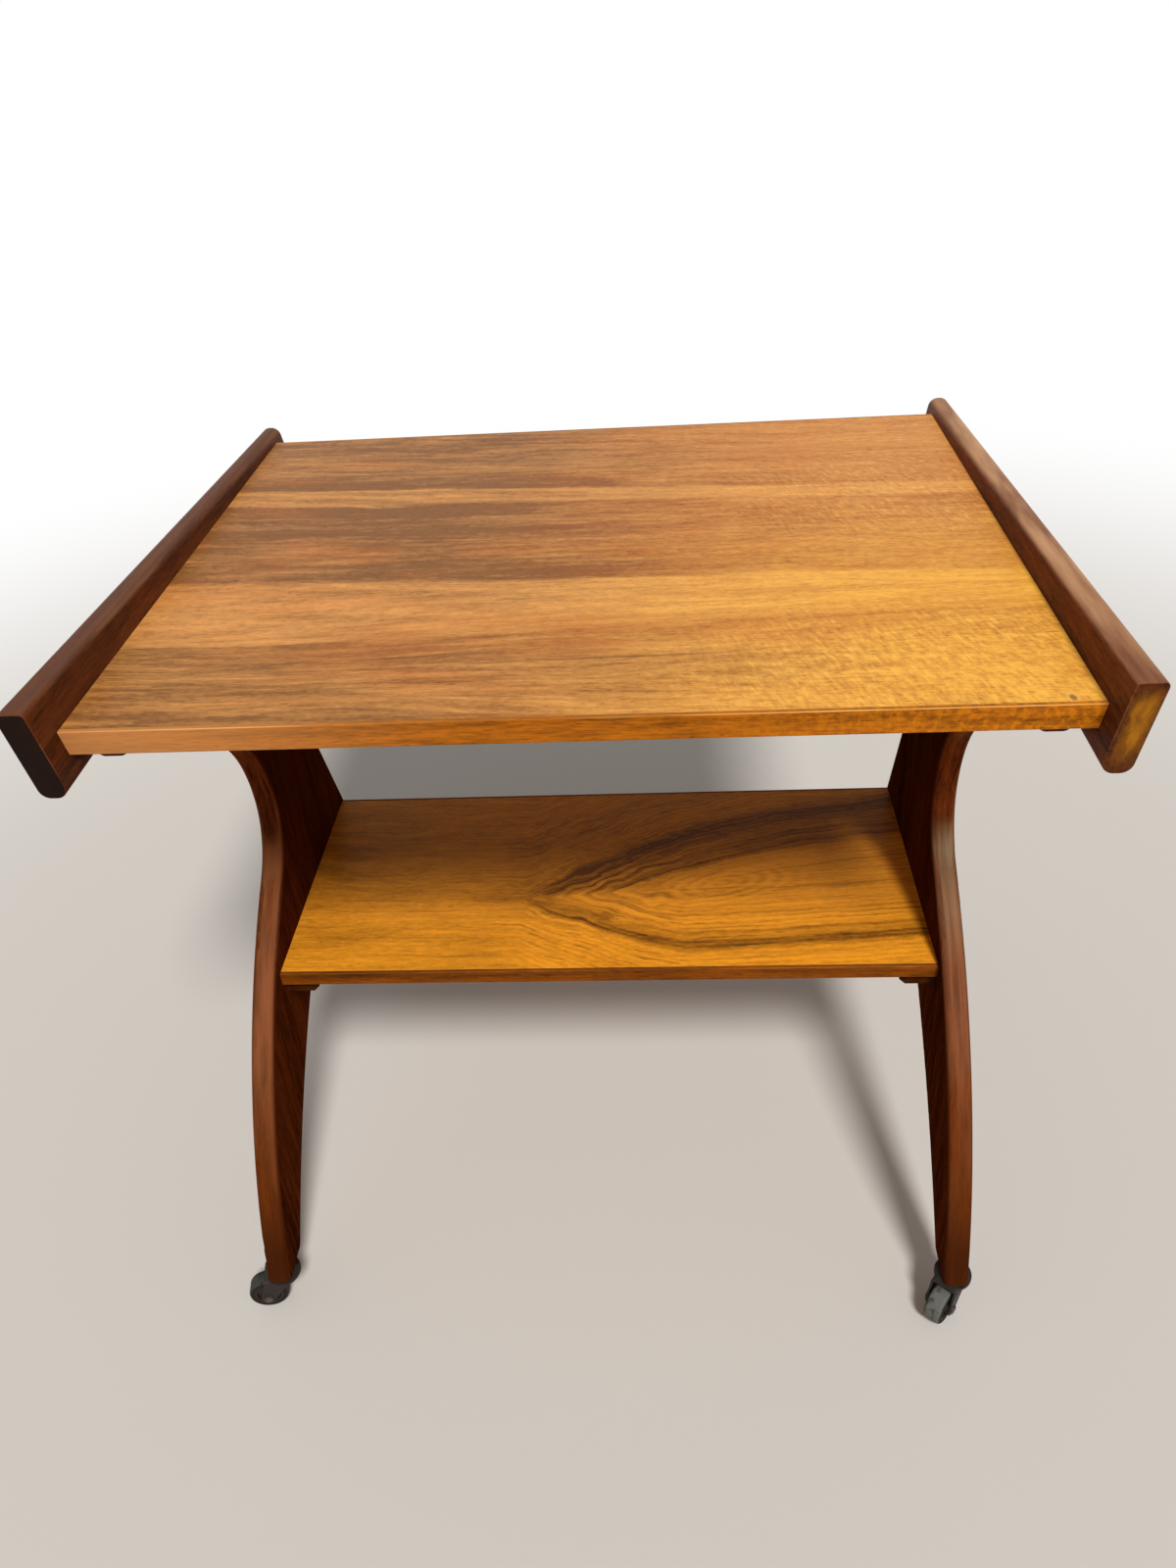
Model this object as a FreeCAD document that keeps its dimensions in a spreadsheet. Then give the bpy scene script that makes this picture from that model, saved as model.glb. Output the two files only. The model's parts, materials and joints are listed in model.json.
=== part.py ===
import FreeCAD, Part
import math
import os
from types import SimpleNamespace

import Sketcher

# Two-tier tea trolley: a veneered top between two leaning handle rails, two shaped end frames,
# a lower shelf and four swivelling castors.
#
# Frame of the part: the origin is on the floor under the middle of the trolley, +X runs along
# the top, +Y from the front edge to the rear edge, +Z up. Lengths are millimetres, angles degrees.

DRIVING_SIZES = {
    # top board
    "board_length": 732,           # of the upper face, between the two handle rails
    "board_depth": 610,            # over both lippings
    "board_thick": 20,
    "board_height": 704,           # upper face above the floor
    "lipping_thick": 4,
    "arris_radius": 1.2,           # on the outer edges of the lippings
    # handle rails
    "rail_overhang": 23,           # past the board at the front and at the rear
    "rail_front_rise": 29,         # above the board, at the front end
    "rail_rear_rise": 10,          # above the board, at the rear end
    "rail_drop": 42,               # below the upper face of the board
    "rail_width": 22,
    "rail_lean_angle": 10,         # outward, from upright
    "rail_front_radius": 4,        # of the top's edges, at the front end
    "rail_rear_radius": 10,        # of the top's edges, at the rear end
    "rail_foot_radius": 9,
    "rail_end_radius": 1.2,
    "rail_gap": 0.3,               # between the board's end and the rail
    # end frames
    "frame_thick": 24,
    "frame_inset": 14.9,           # from the end of the board to the outer face
    "leg_edge_radius": 6.5,
    "nose_inset": 15,              # from the edge of the board to the end of the frame
    "nose_depth": 11,
    "foot_overhang": 19,           # of the feet, past the edges of the board
    "foot_width": 50,
    "arch_height": 253,
    "arch_crown_radius": 128,
    "arch_side_radius": 877,
    "front_neck_reach": 48,
    "front_neck_height": 449,
    "front_neck_radius": 140,
    "front_flare_radius": 522,
    "front_knee_radius": 80,
    "front_sweep_radius": 579,
    "rear_neck_reach": 97,
    "rear_neck_height": 478,
    "rear_neck_radius": 100,
    "rear_flare_radius": 765,
    "rear_turn_radius": 120,       # turns the neck into the straight rake
    "rear_rake_angle": 23,
    "rear_rake_foot": 298,         # height where the straight rake ends
    "rear_knee_radius": 90,
    "rear_sweep_radius": 437,
    # shelf
    "shelf_depth": 301,            # over both lippings
    "shelf_thick": 15,
    "shelf_height": 313,           # upper face above the floor
    # cleats
    "top_cleat_width": 24,
    "top_cleat_height": 24,
    "top_cleat_length": 440,
    "shelf_cleat_width": 34,
    "shelf_cleat_height": 16,
    "shelf_cleat_length": 285,
    "cleat_bevel": 6,
    # screws and dowels
    "screw_diameter": 4,
    "screw_head_diameter": 8,
    "screw_slot_width": 1.2,
    "screw_slot_depth": 1,
    "top_screw_length": 34,
    "top_screw_spacing": 120,
    "top_side_screw_length": 38,
    "top_side_screw_spacing": 90,
    "shelf_screw_length": 26,
    "shelf_screw_spacing": 100,
    "shelf_side_screw_length": 46,
    "shelf_side_screw_spacing": 100,
    "shelf_side_screw_rise": 11,   # above the foot of the cleat
    "screw_clearance": 0.05,
    "dowel_diameter": 8,
    "dowel_clearance": 0.05,
    "rail_dowel_length": 40,
    "rail_dowel_in_board": 26,
    "rail_dowel_pitch": 130,
    "leg_dowel_length": 60,
    "leg_dowel_margin": 35.5,      # below the lowest one and above the highest one
    "joint_gap": 0.1,              # between wood faces that meet
    # castors
    "wheel_diameter": 40,
    "tyre_width": 18,
    "tyre_radius": 4,
    "core_diameter": 29,
    "hub_diameter": 13,
    "hub_width": 20,
    "core_web": 9,
    "core_rim": 2,
    "core_rim_inset": 0.5,         # of the core's rim from each side of the tyre
    "tyre_clearance": 0.05,
    "axle_diameter": 5,
    "axle_head_diameter": 9,
    "axle_head_thick": 1.6,
    "axle_clearance": 0.05,
    "castor_inset": 16,            # of the stem, from the outer end of the foot
    "castor_trail": 19,
    "fork_gap": 22,                # between the two cheeks
    "fork_metal_thick": 2,
    "fork_plate": 3,
    "fork_disc_radius": 18,        # round part of the plate, about the stem
    "fork_front": 8,
    "fork_rear": 19,
    "fork_bend_radius": 2.5,
    "fork_eye_radius": 7,
    "wheel_clearance": 4.5,        # between tyre and fork plate
    "swivel_gap": 0.5,
    "stem_diameter": 8,
    "stem_length": 25,             # above the fork plate
    "stem_head_diameter": 14,
    "stem_head_thick": 2,
    "stem_clearance": 0.06,
    "socket_diameter": 11,
    "socket_length": 26,
    "socket_flange_diameter": 20,
    "socket_flange_thick": 1.5,
    "socket_clearance": 0.05,
    # way each castor trails, turned from +X
    "front_left_swivel_angle": 190,
    "front_right_swivel_angle": 231,
    "rear_left_swivel_angle": 170,
    "rear_right_swivel_angle": 129,
}

doc = FreeCAD.newDocument("TeaTrolley")
nodes = []


# --- sizes and formulas ---------------------------------------------------------------------

class Size:
    """A size as a number and as the spreadsheet formula that gives it."""

    def __init__(self, number, formula):
        self.number = number
        self.formula = formula

    def __add__(self, other):
        other = as_size(other)
        return Size(self.number + other.number, f"({self.formula} + {other.formula})")

    def __sub__(self, other):
        other = as_size(other)
        return Size(self.number - other.number, f"({self.formula} - {other.formula})")

    def __mul__(self, other):
        other = as_size(other)
        return Size(self.number * other.number, f"({self.formula} * {other.formula})")

    def __truediv__(self, other):
        other = as_size(other)
        return Size(self.number / other.number, f"({self.formula} / {other.formula})")

    def __rsub__(self, other):
        return as_size(other) - self

    def __neg__(self):
        return Size(-self.number, f"(-1 * {self.formula})")


def as_size(value):
    return value if isinstance(value, Size) else Size(value, str(value))


def cos_of(angle):
    return Size(math.cos(math.radians(angle.number)), f"cos({angle.formula})")


def sin_of(angle):
    return Size(math.sin(math.radians(angle.number)), f"sin({angle.formula})")


def tan_of(angle):
    return Size(math.tan(math.radians(angle.number)), f"tan({angle.formula})")


def write_sheet(values):
    """Put each driving size into its own cell and return them as Size objects by name."""
    sheet = doc.addObject("Spreadsheet::Sheet", "Sizes")
    for row, (name, value) in enumerate(values.items(), start=1):
        sheet.set(f"A{row}", name)
        sheet.set(f"B{row}", str(value))
        sheet.setAlias(f"B{row}", name)
    doc.recompute()
    return SimpleNamespace(**{name: Size(value, f"Sizes.{name}") for name, value in values.items()})


S = write_sheet(DRIVING_SIZES)

# heights and places that several pieces share
board_underside = S.board_height - S.board_thick
board_middle = S.board_height - S.board_thick / 2
shelf_underside = S.shelf_height - S.shelf_thick
frame_top = board_underside - S.joint_gap
board_end = S.board_length / 2
frame_middle = board_end - S.frame_inset - S.frame_thick / 2
frame_inner_face = frame_middle - S.frame_thick / 2
shelf_length = (frame_inner_face - S.joint_gap) * 2
nose_reach = S.board_depth / 2 - S.nose_inset
foot_reach = S.board_depth / 2 + S.foot_overhang
axle_height = S.wheel_diameter / 2
fork_plate_underside = S.wheel_diameter + S.wheel_clearance
fork_plate_top = fork_plate_underside + S.fork_plate
flange_underside = fork_plate_top + S.swivel_gap
foot_height = flange_underside + S.socket_flange_thick
castor_reach = foot_reach - S.castor_inset
fork_outer_width = S.fork_gap + S.fork_metal_thick * 2

ABOUT_Z = FreeCAD.Vector(0, 0, 1)
LEFT, RIGHT = -1, 1
FRONT, REAR = -1, 1
HALF_TURN = 180


# --- building blocks ------------------------------------------------------------------------

def bind(thing, name, value):
    """Give a property its value and tie it to the sheet."""
    thing.setExpression(name, as_size(value).formula)


def place(thing, x=0, y=0, z=0, turn=0, axis=ABOUT_Z):
    """Put a thing at a point, turned about an axis through its own origin."""
    turn = as_size(turn)
    thing.Placement = FreeCAD.Placement(FreeCAD.Vector(0, 0, 0), FreeCAD.Rotation(axis, turn.number))
    if turn.formula != str(turn.number):
        bind(thing, "Placement.Rotation.Angle", turn)
    for letter, value in zip("xyz", (x, y, z)):
        bind(thing, f"Placement.Base.{letter}", value)


def keep(thing, label):
    """Name a finished sub-part and add it to the list of nodes."""
    thing.Label = label
    nodes.append(thing)
    return thing


def new_body(name):
    return doc.addObject("PartDesign::Body", name)


def sketch_on(body, name, plane, offset=None):
    """A sketch on one of the body's own origin planes, moved along the plane's normal."""
    sketch = body.newObject("Sketcher::SketchObject", name)
    support = next(each for each in body.Origin.OriginFeatures if each.Role == plane)
    sketch.AttachmentSupport = [(support, "")]
    sketch.MapMode = "FlatFace"
    if offset is not None:
        bind(sketch, "AttachmentOffset.Base.z", offset)
    return sketch


def limit(sketch, kind, *where, value):
    """Add a dimension to a sketch and tie it to the sheet."""
    value = as_size(value)
    index = sketch.addConstraint(Sketcher.Constraint(kind, *where, value.number))
    bind(sketch, f"Constraints[{index}]", value)


class Outline:
    """A closed sketch outline, walked from point to point with lines and arcs.

    A point given as a pair of Size objects is held there. A free point is a plain guess that
    the tangent joints and the radii of its arcs settle."""

    def __init__(self, sketch, start):
        self.sketch = sketch
        self.start = start
        self.here = start
        self.pieces = []

    def vector(self, point):
        return FreeCAD.Vector(as_size(point[0]).number, as_size(point[1]).number, 0)

    def add(self, curve, point, smooth, held):
        geometry = self.sketch.addGeometry(curve, False)
        forward = self.sketch.getPoint(geometry, 1).isEqual(self.vector(self.here), 1e-6)
        ends = (1, 2) if forward else (2, 1)
        self.pieces.append(SimpleNamespace(index=geometry, ends=ends, smooth=smooth))
        if held:
            limit(self.sketch, "DistanceX", geometry, ends[1], value=point[0])
            limit(self.sketch, "DistanceY", geometry, ends[1], value=point[1])
        self.here = point
        return geometry

    def line(self, point, smooth=False, held=True):
        """A straight side to a point. With smooth it leaves the last side tangentially."""
        line = Part.LineSegment(self.vector(self.here), self.vector(point))
        return self.add(line, point, smooth, held)

    def arc(self, point, radius, side, smooth=False, held=True):
        """An arc to a point that bulges to the left (1) or right (-1) of the way there."""
        first, last = self.vector(self.here), self.vector(point)
        chord = last - first
        rise = radius.number - math.sqrt(radius.number ** 2 - (chord.Length / 2) ** 2)
        left = FreeCAD.Vector(-chord.y, chord.x, 0) / chord.Length
        middle = (first + last) / 2 + left * (rise * side)
        geometry = self.add(Part.Arc(first, middle, last), point, smooth, held)
        limit(self.sketch, "Radius", geometry, value=radius)
        return geometry

    def centre(self, geometry, x=None, y=None):
        """Hold the centre of an arc in one direction, which fixes its tangent at an end."""
        if x is not None:
            limit(self.sketch, "DistanceX", geometry, 3, value=x)
        if y is not None:
            limit(self.sketch, "DistanceY", geometry, 3, value=y)

    def close(self):
        """Join every side to the next one, and the last to the first."""
        for last, after in zip(self.pieces, self.pieces[1:] + self.pieces[:1]):
            kind = "Tangent" if after.smooth else "Coincident"
            joint = (last.index, last.ends[1], after.index, after.ends[0])
            self.sketch.addConstraint(Sketcher.Constraint(kind, *joint))


def pad(body, sketch, length):
    """Thicken a sketch by half the length to each side of its plane."""
    feature = body.newObject("PartDesign::Pad", sketch.Name + "_pad")
    feature.Profile = sketch
    feature.Midplane = True
    bind(feature, "Length", length)
    return feature


def cut_through(body, sketch, length):
    """Cut a sketch out of a body by half the length to each side of its plane."""
    feature = body.newObject("PartDesign::Pocket", sketch.Name + "_cut")
    feature.Profile = sketch
    feature.Midplane = True
    bind(feature, "Length", length)
    return feature


def turn_profile(body, points, name):
    """Revolve a closed profile of (along, radius) points about the body's own Y axis."""
    sketch = sketch_on(body, name, "YZ_Plane")
    outline = Outline(sketch, points[-1])
    for point in points:
        outline.line(point)
    outline.close()
    feature = body.newObject("PartDesign::Revolution", name + "_turned")
    feature.Profile = sketch
    feature.ReferenceAxis = (sketch, ["H_Axis"])
    feature.Angle = 360
    return feature


def round_edges(body, feature, radius, chosen):
    """Fillet the edges of a feature that the test picks."""
    doc.recompute()
    names = [f"Edge{n}" for n, edge in enumerate(feature.Shape.Edges, start=1) if chosen(edge)]
    fillet = body.newObject("PartDesign::Fillet", feature.Name + "_rounded")
    fillet.Base = (feature, names)
    bind(fillet, "Radius", radius)
    return fillet


def box(name, size_x, size_y, size_z, centre_x, centre_y, bottom):
    """A box that stands on a height and is centred in plan."""
    block = doc.addObject("Part::Box", name)
    bind(block, "Length", size_x)
    bind(block, "Width", size_y)
    bind(block, "Height", size_z)
    place(block, centre_x - as_size(size_x) / 2, centre_y - as_size(size_y) / 2, bottom)
    return block


def fuse(name, shapes):
    joined = doc.addObject("Part::MultiFuse", name)
    joined.Shapes = shapes
    return joined


def bored(base, tools, label):
    """A piece with every tool of a list cut out of it."""
    cut = doc.addObject("Part::Cut", label + "_bored")
    cut.Base = base
    cut.Tool = fuse(label + "_bores", tools)
    return keep(cut, label)


def group(members, label):
    """Several separate, identical fasteners as one node."""
    together = doc.addObject("Part::Compound", label + "_group")
    together.Links = members
    return keep(together, label)


# --- fasteners ------------------------------------------------------------------------------

# The way a fastener points from its first end, and the turn that brings +Z there.
DIRECTIONS = {
    "up": (FreeCAD.Vector(0, 0, 1), 0),
    "right": (FreeCAD.Vector(0, 1, 0), 90),
    "left": (FreeCAD.Vector(0, 1, 0), -90),
    "rear": (FreeCAD.Vector(1, 0, 0), -90),
}


def rod(name, diameter, length, spot, way, radial_gap=0):
    """A round rod from a spot, as a dowel or, with a radial gap, as the bore for it."""
    axis, turn = DIRECTIONS[way]
    cylinder = doc.addObject("Part::Cylinder", name)
    bind(cylinder, "Radius", diameter / 2 + radial_gap)
    bind(cylinder, "Height", length)
    place(cylinder, *spot, turn=turn, axis=axis)
    return cylinder


def countersunk(name, length, radial_gap=0):
    """The form of a wood screw that points up from its head, or of the hole for it."""
    shank = doc.addObject("Part::Cylinder", name + "_shank")
    bind(shank, "Radius", S.screw_diameter / 2 + radial_gap)
    bind(shank, "Height", length)
    head = doc.addObject("Part::Cone", name + "_head")
    bind(head, "Radius1", S.screw_head_diameter / 2 + radial_gap)
    bind(head, "Radius2", S.screw_diameter / 2 + radial_gap)
    bind(head, "Height", (S.screw_head_diameter - S.screw_diameter) / 2)
    return fuse(name, [head, shank])


def screw_row(name, length, spots, way):
    """Slotted screws at several spots, and the holes that they sit in."""
    axis, turn = DIRECTIONS[way]
    screws, holes = [], []
    for n, spot in enumerate(spots, start=1):
        slotted = doc.addObject("Part::Cut", f"{name}_{n}")
        slotted.Base = countersunk(f"{name}_blank_{n}", length)
        slotted.Tool = box(f"{name}_slot_{n}", S.screw_head_diameter * 2, S.screw_slot_width,
                           S.screw_slot_depth, 0, 0, 0)
        hole = countersunk(f"{name}_hole_{n}", length, S.screw_clearance)
        for thing in (slotted, hole):
            place(thing, *spot, turn=turn, axis=axis)
        screws.append(slotted)
        holes.append(hole)
    return screws, holes


def rod_row(name, diameter, length, spots, way, radial_gap):
    """Rods at several spots, and the bores that they sit in."""
    rods = [rod(f"{name}_{n}", diameter, length, spot, way) for n, spot in enumerate(spots, start=1)]
    bores = [rod(f"{name}_bore_{n}", diameter, length, spot, way, radial_gap)
             for n, spot in enumerate(spots, start=1)]
    return rods, bores


# --- handle rails ---------------------------------------------------------------------------

RAIL_DOWEL_STEPS = (-2, -1, 0, 1, 2)


def rail_section(body, name, offset, rise, top_radius):
    """A cross-section of a rail: two leaning sides between a round foot and a softened top."""
    lean = S.rail_lean_angle

    def corner(way, level, radius):
        """The centre of the rounding on the inner (-1) or outer (1) side, and the points where
        it touches its neighbours."""
        face = S.rail_gap + level * tan_of(lean) + (S.rail_width if way == 1 else 0)
        x = face - radius / cos_of(lean) * way
        touch = (x + radius * cos_of(lean) * way, level - radius * sin_of(lean) * way)
        return SimpleNamespace(x=x, y=level, radius=radius, side=touch,
                               above=(x, level + radius), below=(x, level - radius))

    foot_level, top_level = S.rail_foot_radius - S.rail_drop, rise - top_radius
    foot_inner, foot_outer = (corner(way, foot_level, S.rail_foot_radius) for way in (-1, 1))
    top_inner, top_outer = (corner(way, top_level, top_radius) for way in (-1, 1))

    sketch = sketch_on(body, name, "XZ_Plane", offset)
    outline = Outline(sketch, foot_inner.below)
    for turn, enter, leave in ((foot_outer, foot_outer.below, foot_outer.side),
                               (top_outer, top_outer.side, top_outer.above),
                               (top_inner, top_inner.above, top_inner.side),
                               (foot_inner, foot_inner.side, foot_inner.below)):
        outline.line(enter, smooth=True, held=False)
        rounding = outline.arc(leave, turn.radius, -1, smooth=True, held=False)
        outline.centre(rounding, x=turn.x, y=turn.y)
    outline.close()
    return sketch


def rail_body(name, high_end):
    """A rail along Y that leans outward to +X, with its origin on the upper edge of the
    board's end. Its top falls from the high end to the other one and grows rounder on the way."""
    body = new_body(name)
    half_length = S.board_depth / 2 + S.rail_overhang
    high = rail_section(body, name + "_high", -half_length * high_end,
                        S.rail_front_rise, S.rail_front_radius)
    low = rail_section(body, name + "_low", half_length * high_end,
                       S.rail_rear_rise, S.rail_rear_radius)
    blank = body.newObject("PartDesign::AdditiveLoft", name + "_loft")
    # the loft runs the way its sketches face, from the end at +Y to the end at -Y
    blank.Profile, last = (high, low) if high_end == REAR else (low, high)
    blank.Sections = [last]
    blank.Ruled = True
    round_edges(body, blank, S.rail_end_radius, lambda edge: edge.BoundBox.YLength < 1e-6)
    return body


def make_rails():
    """Both rails, and the dowels that hold them to the ends of the board."""
    board_bores, dowels = [], []
    for side, word in ((LEFT, "left"), (RIGHT, "right")):
        rail = rail_body(f"rail_{word}", FRONT if side == RIGHT else REAR)
        place(rail, board_end * side, 0, S.board_height, turn=0 if side == RIGHT else HALF_TURN)
        inner_end = (board_end - S.rail_dowel_in_board) * side
        spots = [(inner_end, S.rail_dowel_pitch * step, board_middle) for step in RAIL_DOWEL_STEPS]
        rods, bores = rod_row(f"rail_dowel_{word}", S.dowel_diameter, S.rail_dowel_length,
                              spots, word, S.dowel_clearance)
        bored(rail, bores, f"{word}_handle_rail")
        board_bores += bores
        dowels += rods
    group(dowels, "rail_dowels")
    return board_bores


# --- end frames -----------------------------------------------------------------------------

FLARE_TURN = as_size(45)         # first guess of the angle where flare and neck meet
KNEE_TURN = as_size(57)          # first guess of the slope where the front knee ends
REAR_KNEE_TURN = as_size(50)     # the same for the rear knee
CROWN_TURN = as_size(33)         # first guess of the slope where the arch's crown ends


def leg_head(outline, neck, neck_radius, flare_radius):
    """The upper half: from the centre line along the board, down the nose and the flare to
    the neck, where the edge is upright."""
    reach, height = neck
    outline.line((nose_reach, frame_top))
    outline.line((nose_reach, frame_top - S.nose_depth))
    meeting = (reach + neck_radius * (1 - cos_of(FLARE_TURN)),
               height + neck_radius * sin_of(FLARE_TURN))
    outline.arc(meeting, flare_radius, -1, held=False)
    upper = outline.arc(neck, neck_radius, -1, smooth=True)
    outline.centre(upper, y=height)


def leg_foot(outline, sweep_radius):
    """The lower half: down the sweep to the foot, and up the arch to the centre line."""
    outline.arc((foot_reach, foot_height), sweep_radius, 1, smooth=True)
    outline.line((foot_reach - S.foot_width, foot_height))
    crown_end = (S.arch_crown_radius * sin_of(CROWN_TURN),
                 S.arch_height - S.arch_crown_radius * (1 - cos_of(CROWN_TURN)))
    outline.arc(crown_end, S.arch_side_radius, -1, held=False)
    crown = outline.arc((as_size(0), S.arch_height), S.arch_crown_radius, -1, smooth=True)
    outline.centre(crown, x=0)
    outline.line((as_size(0), frame_top))
    outline.close()


def front_leg_outline(sketch):
    """Waisted front edge: flare, narrow neck, round knee and a long sweep to the foot."""
    neck = (S.front_neck_reach, S.front_neck_height)
    outline = Outline(sketch, (as_size(0), frame_top))
    leg_head(outline, neck, S.front_neck_radius, S.front_flare_radius)
    knee_end = (neck[0] + S.front_knee_radius * (1 - cos_of(KNEE_TURN)),
                neck[1] - S.front_knee_radius * sin_of(KNEE_TURN))
    knee = outline.arc(knee_end, S.front_knee_radius, -1, held=False)
    outline.centre(knee, y=neck[1])
    leg_foot(outline, S.front_sweep_radius)


def rear_leg_outline(sketch):
    """Rear edge: flare, neck, a straight rake past the shelf, a knee and the sweep."""
    neck = (S.rear_neck_reach, S.rear_neck_height)
    outline = Outline(sketch, (as_size(0), frame_top))
    leg_head(outline, neck, S.rear_neck_radius, S.rear_flare_radius)
    rake_top = (neck[0] + S.rear_turn_radius * (1 - cos_of(S.rear_rake_angle)),
                neck[1] - S.rear_turn_radius * sin_of(S.rear_rake_angle))
    turn = outline.arc(rake_top, S.rear_turn_radius, -1, held=False)
    outline.centre(turn, y=neck[1])
    rake_foot = (rake_top[0] + (rake_top[1] - S.rear_rake_foot) * tan_of(S.rear_rake_angle),
                 S.rear_rake_foot)
    outline.line(rake_foot, smooth=True)
    knee_end = (rake_foot[0] + S.rear_knee_radius * (cos_of(S.rear_rake_angle) - cos_of(REAR_KNEE_TURN)),
                rake_foot[1] - S.rear_knee_radius * (sin_of(REAR_KNEE_TURN) - sin_of(S.rear_rake_angle)))
    outline.arc(knee_end, S.rear_knee_radius, -1, smooth=True, held=False)
    leg_foot(outline, S.rear_sweep_radius)


def leg_body(name, draw):
    """One leg board, upright in the YZ plane, with its shaped edges rounded."""
    body = new_body(name)
    sketch = sketch_on(body, name + "_outline", "YZ_Plane")
    draw(sketch)
    board = pad(body, sketch, S.frame_thick)

    def on_shaped_edge(edge):
        around = edge.BoundBox
        return around.XLength < 1e-6 and around.YLength > 1 and around.ZLength > 1

    round_edges(body, board, S.leg_edge_radius, on_shaped_edge)
    return body


LEG_DOWEL_STEPS = (0, 1, 2, 3, 4)


def leg_dowels(side, word):
    """Dowels across the glued joint between the two leg boards of one end frame."""
    lowest = S.arch_height + S.leg_dowel_margin
    spacing = (frame_top - S.leg_dowel_margin - lowest) / LEG_DOWEL_STEPS[-1]
    spots = [(frame_middle * side, S.leg_dowel_length / -2, lowest + spacing * step)
             for step in LEG_DOWEL_STEPS]
    return rod_row(f"leg_dowel_{word}", S.dowel_diameter, S.leg_dowel_length, spots, "rear",
                   S.dowel_clearance)


def make_end_frames(screw_holes):
    """Four leg boards, two to a frame, with the dowels between them."""
    dowels = []
    for side, side_word in ((LEFT, "left"), (RIGHT, "right")):
        rods, dowel_bores = leg_dowels(side, side_word)
        dowels += rods
        for end, end_word, draw in ((FRONT, "front", front_leg_outline),
                                    (REAR, "rear", rear_leg_outline)):
            name = f"{side_word}_{end_word}_leg"
            body = leg_body(name + "_board", draw)
            place(body, frame_middle * side, S.joint_gap / 2 * end, 0,
                  turn=HALF_TURN if end == FRONT else 0)
            socket_bore = rod(name + "_socket_bore", S.socket_diameter, S.socket_length,
                              (frame_middle * side, castor_reach * end, foot_height), "up",
                              S.socket_clearance)
            bored(body, dowel_bores + screw_holes[side] + [socket_bore], name)
    group(dowels, "leg_dowels")


# --- cleats and their screws ----------------------------------------------------------------

FOUR_STEPS = (-1.5, -0.5, 0.5, 1.5)
THREE_STEPS = (-1, 0, 1)
TWO_STEPS = (-0.5, 0.5)


def cleat(name, side, width, height, length, top):
    """A batten along Y in the corner between an end frame and the board above it, with its
    free lower edge bevelled."""
    body = new_body(name)
    sketch = sketch_on(body, name + "_section", "XZ_Plane")
    outline = Outline(sketch, (as_size(0), as_size(0)))
    outline.line((as_size(0), -height))
    outline.line((width - S.cleat_bevel, -height))
    outline.line((width, S.cleat_bevel - height))
    outline.line((width, as_size(0)))
    outline.line((as_size(0), as_size(0)))
    outline.close()
    pad(body, sketch, length)
    face = frame_inner_face - S.joint_gap
    place(body, face * side, 0, top - S.joint_gap, turn=HALF_TURN if side == RIGHT else 0)
    return body


def make_cleats():
    """Top and shelf cleats with their screws. Returns the holes for the pieces around them."""
    frame_holes, top_holes, shelf_holes = {}, [], []
    top_screws, shelf_screws = [], []
    for side, word in ((LEFT, "left"), (RIGHT, "right")):
        upper = cleat(f"top_cleat_{word}", side, S.top_cleat_width, S.top_cleat_height,
                      S.top_cleat_length, board_underside)
        upper_x = (frame_inner_face - S.joint_gap - S.top_cleat_width / 2) * side
        upper_foot = board_underside - S.joint_gap - S.top_cleat_height
        upper_middle = upper_foot + S.top_cleat_height / 2
        upper_side = (frame_inner_face - S.joint_gap - S.top_cleat_width) * side
        rising, rising_holes = screw_row(
            f"top_screw_{word}", S.top_screw_length,
            [(upper_x, S.top_screw_spacing * step, upper_foot) for step in FOUR_STEPS], "up")
        level, level_holes = screw_row(
            f"top_side_screw_{word}", S.top_side_screw_length,
            [(upper_side, S.top_side_screw_spacing * step, upper_middle) for step in FOUR_STEPS], word)
        bored(upper, rising_holes + level_holes, f"{word}_top_cleat")
        top_screws += rising + level
        top_holes += rising_holes

        lower = cleat(f"shelf_cleat_{word}", side, S.shelf_cleat_width, S.shelf_cleat_height,
                      S.shelf_cleat_length, shelf_underside)
        lower_x = (frame_inner_face - S.joint_gap - S.shelf_cleat_width / 2) * side
        lower_foot = shelf_underside - S.joint_gap - S.shelf_cleat_height
        lower_screws = lower_foot + S.shelf_side_screw_rise
        lower_side = (frame_inner_face - S.joint_gap - S.shelf_cleat_width) * side
        lifting, lifting_holes = screw_row(
            f"shelf_screw_{word}", S.shelf_screw_length,
            [(lower_x, S.shelf_screw_spacing * step, lower_foot) for step in THREE_STEPS], "up")
        flat, flat_holes = screw_row(
            f"shelf_side_screw_{word}", S.shelf_side_screw_length,
            [(lower_side, S.shelf_side_screw_spacing * step, lower_screws) for step in TWO_STEPS], word)
        bored(lower, lifting_holes + flat_holes, f"{word}_shelf_cleat")
        shelf_screws += lifting + flat
        shelf_holes += lifting_holes
        frame_holes[side] = level_holes + flat_holes
    group(top_screws, "top_cleat_screws")
    group(shelf_screws, "shelf_cleat_screws")
    return frame_holes, top_holes, shelf_holes


# --- top board and shelf --------------------------------------------------------------------

def lipping(name, length, thick):
    """A strip along X with its two outer arrises rounded."""
    body = new_body(name)
    sketch = sketch_on(body, name + "_section", "YZ_Plane")
    inner, outer = as_size(0), S.lipping_thick
    base, arris = as_size(0), S.arris_radius
    outline = Outline(sketch, (inner, base))
    outline.line((outer - arris, base))
    outline.arc((outer, arris), arris, -1)
    outline.line((outer, thick - arris))
    outline.arc((outer - arris, thick), arris, -1)
    outline.line((inner, thick))
    outline.line((inner, base))
    outline.close()
    pad(body, sketch, length)
    return body


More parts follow.
